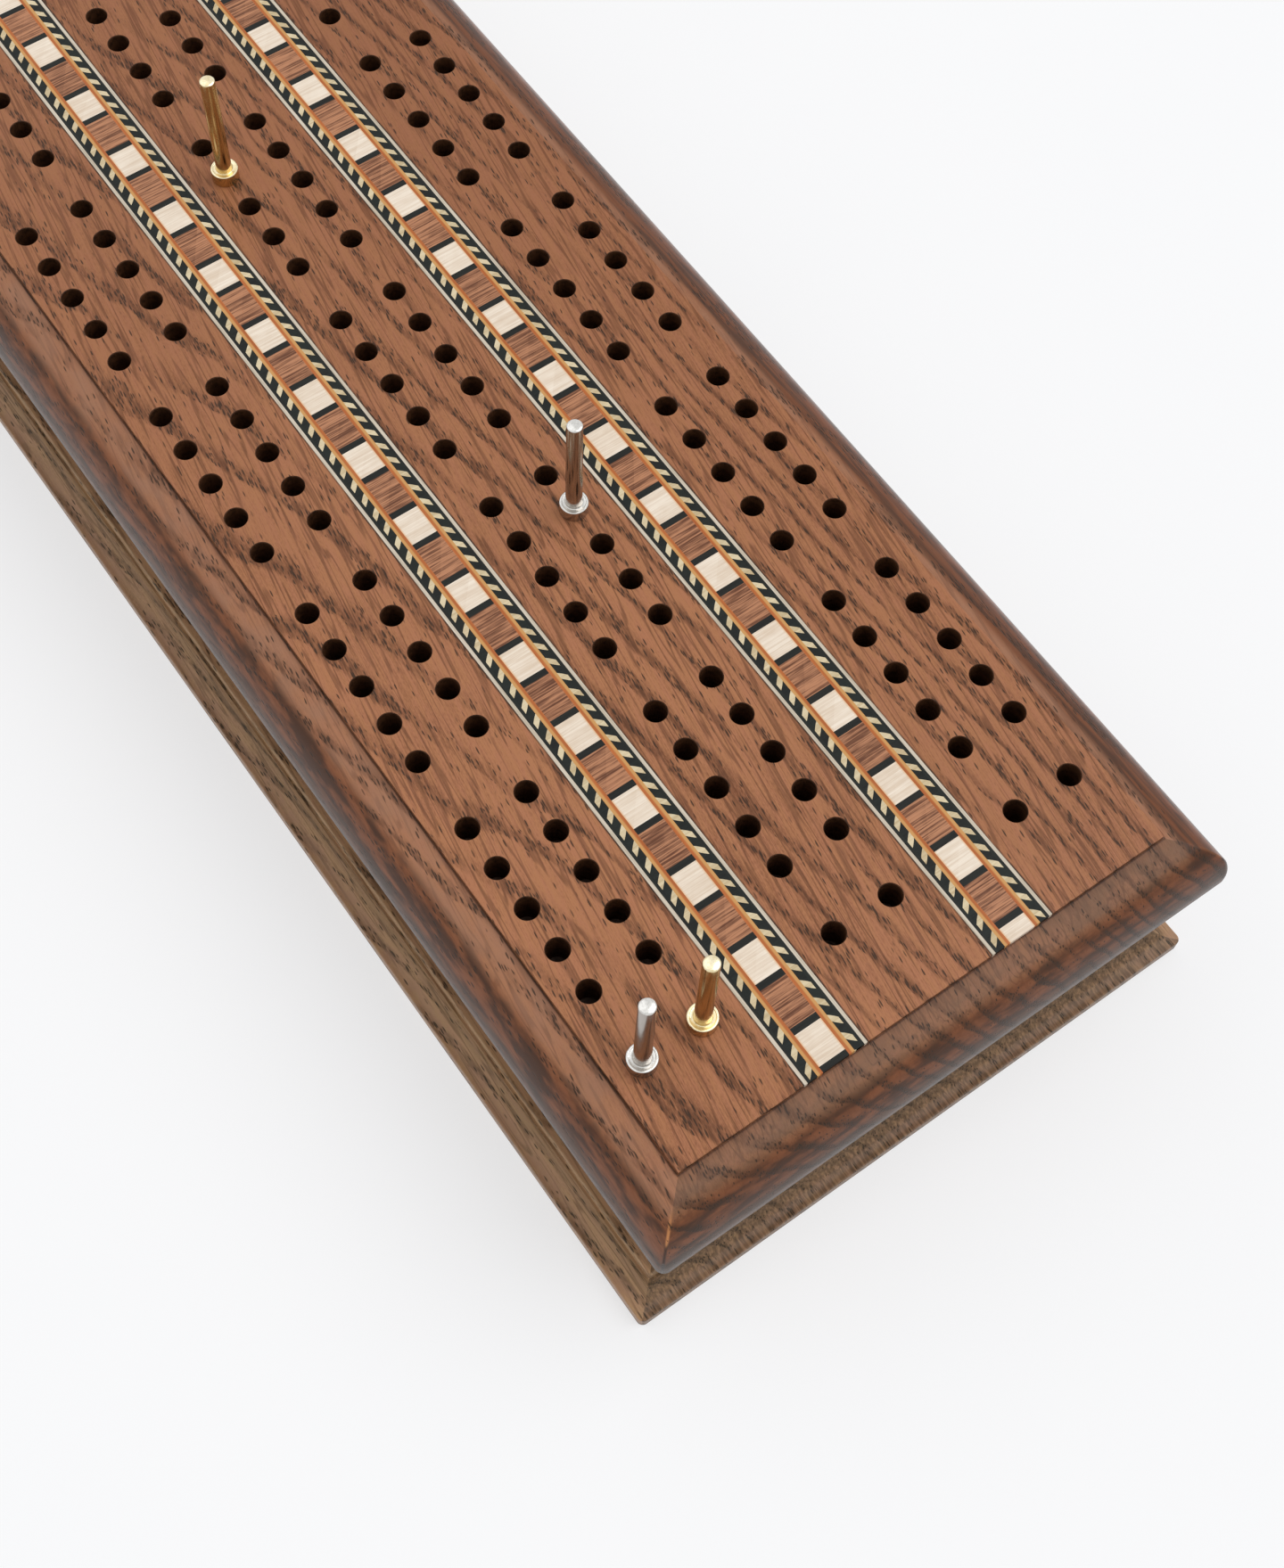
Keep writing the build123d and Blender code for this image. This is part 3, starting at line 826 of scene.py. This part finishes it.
# ---------------------------------------------------------------- stage, light and camera
FLOOR_HALF = 4  # metres
FLOOR_DROP = 0.0001
FLOOR_WHITE = 0.6  # share of plain white in what the camera sees of the floor
SKY_STRENGTH = 0.52
LAMPS = (
    ("key", 1.25, 50, (-0.55, 0.28, -1.0)),
    ("fill", 0.35, 60, (0.3, -0.6, -1.0)),
)
CAMERA_PLACE = (-97.487, -192.283, 311.753)
CAMERA_RIGHT = (0.816182, -0.577479, 0.019091)
CAMERA_DOWN = (-0.512890, -0.739318, -0.436295)
CAMERA_AHEAD = (0.266066, 0.346305, -0.899601)
FOCAL_PIXELS = 2483.743
IMAGE = (1440, 1759)
AXIS_X = 680  # column where the lens axis meets the image


def shown_white(tree, surface, share):
    """Mixes plain white into what the camera, gloss and glass see of a surface."""
    path = tree.nodes.new("ShaderNodeLightPath")
    seen = path.outputs["Is Camera Ray"]
    for other in ("Is Glossy Ray", "Is Transmission Ray"):
        add = tree.nodes.new("ShaderNodeMath")
        add.operation, add.use_clamp = "ADD", True
        tree.links.new(seen, add.inputs[0])
        tree.links.new(path.outputs[other], add.inputs[1])
        seen = add.outputs[0]
    scale = tree.nodes.new("ShaderNodeMath")
    scale.operation = "MULTIPLY"
    scale.inputs[1].default_value = share
    tree.links.new(seen, scale.inputs[0])
    kind = "Background" if surface.type == "BACKGROUND" else "Emission"
    white = tree.nodes.new("ShaderNode" + kind)
    white.inputs["Color"].default_value = (1, 1, 1, 1)
    white.inputs["Strength"].default_value = 1.0
    mixed = tree.nodes.new("ShaderNodeMixShader")
    tree.links.new(scale.outputs[0], mixed.inputs[0])
    tree.links.new(surface.outputs[0], mixed.inputs[1])
    tree.links.new(white.outputs[0], mixed.inputs[2])
    out = next(n for n in tree.nodes if n.type in ("OUTPUT_MATERIAL", "OUTPUT_WORLD"))
    tree.links.new(mixed.outputs[0], out.inputs[0])


paper = Shader("paper", Roughness=0.9)
mottle = paper.noise(paper.place(), 3.0, scale=0.02)
paper.finish(paper.mix(mottle, srgb(250, 250, 252), srgb(246, 247, 250)))
shown_white(paper.tree, paper.surface, FLOOR_WHITE)
floor_mesh = bpy.data.meshes.new("floor")
signs = (-1, -1), (1, -1), (1, 1), (-1, 1)
corners = [(sx * FLOOR_HALF, sy * FLOOR_HALF, 0) for sx, sy in signs]
floor_mesh.from_pydata(corners, [], [(0, 1, 2, 3)])
floor_mesh.materials.append(paper.material)
floor = show("floor", floor_mesh)
floor.location.z = -FLOOR_DROP

world = bpy.data.worlds.new("studio")
world.use_nodes = True
bpy.context.scene.world = world
sky = world.node_tree.nodes["Background"]
sky.inputs["Color"].default_value = (0.97, 0.985, 1.0, 1)
sky.inputs["Strength"].default_value = SKY_STRENGTH
shown_white(world.node_tree, sky, 1.0)

for name, strength, angle, towards in LAMPS:
    light = bpy.data.lights.new(name, "SUN")
    light.energy, light.angle = strength, math.radians(angle)
    lamp = show(name, light)
    lamp.rotation_mode = "QUATERNION"
    lamp.rotation_quaternion = Vector(towards).to_track_quat("-Z", "Y")

camera = bpy.data.cameras.new("camera")
camera.sensor_width = 36
camera.lens = camera.sensor_width * FOCAL_PIXELS / IMAGE[1]
camera.shift_x = (IMAGE[0] / 2 - AXIS_X) / IMAGE[1]
camera.clip_start, camera.clip_end = 0.01, 20
viewer = show("camera", camera)
turn = Matrix((CAMERA_RIGHT, [-v for v in CAMERA_DOWN], [-v for v in CAMERA_AHEAD])).transposed()
viewer.matrix_world = Matrix.Translation(Vector(CAMERA_PLACE) * MM) @ turn.to_4x4()
bpy.context.scene.camera = viewer

bpy.context.scene.view_settings.view_transform = "Standard"
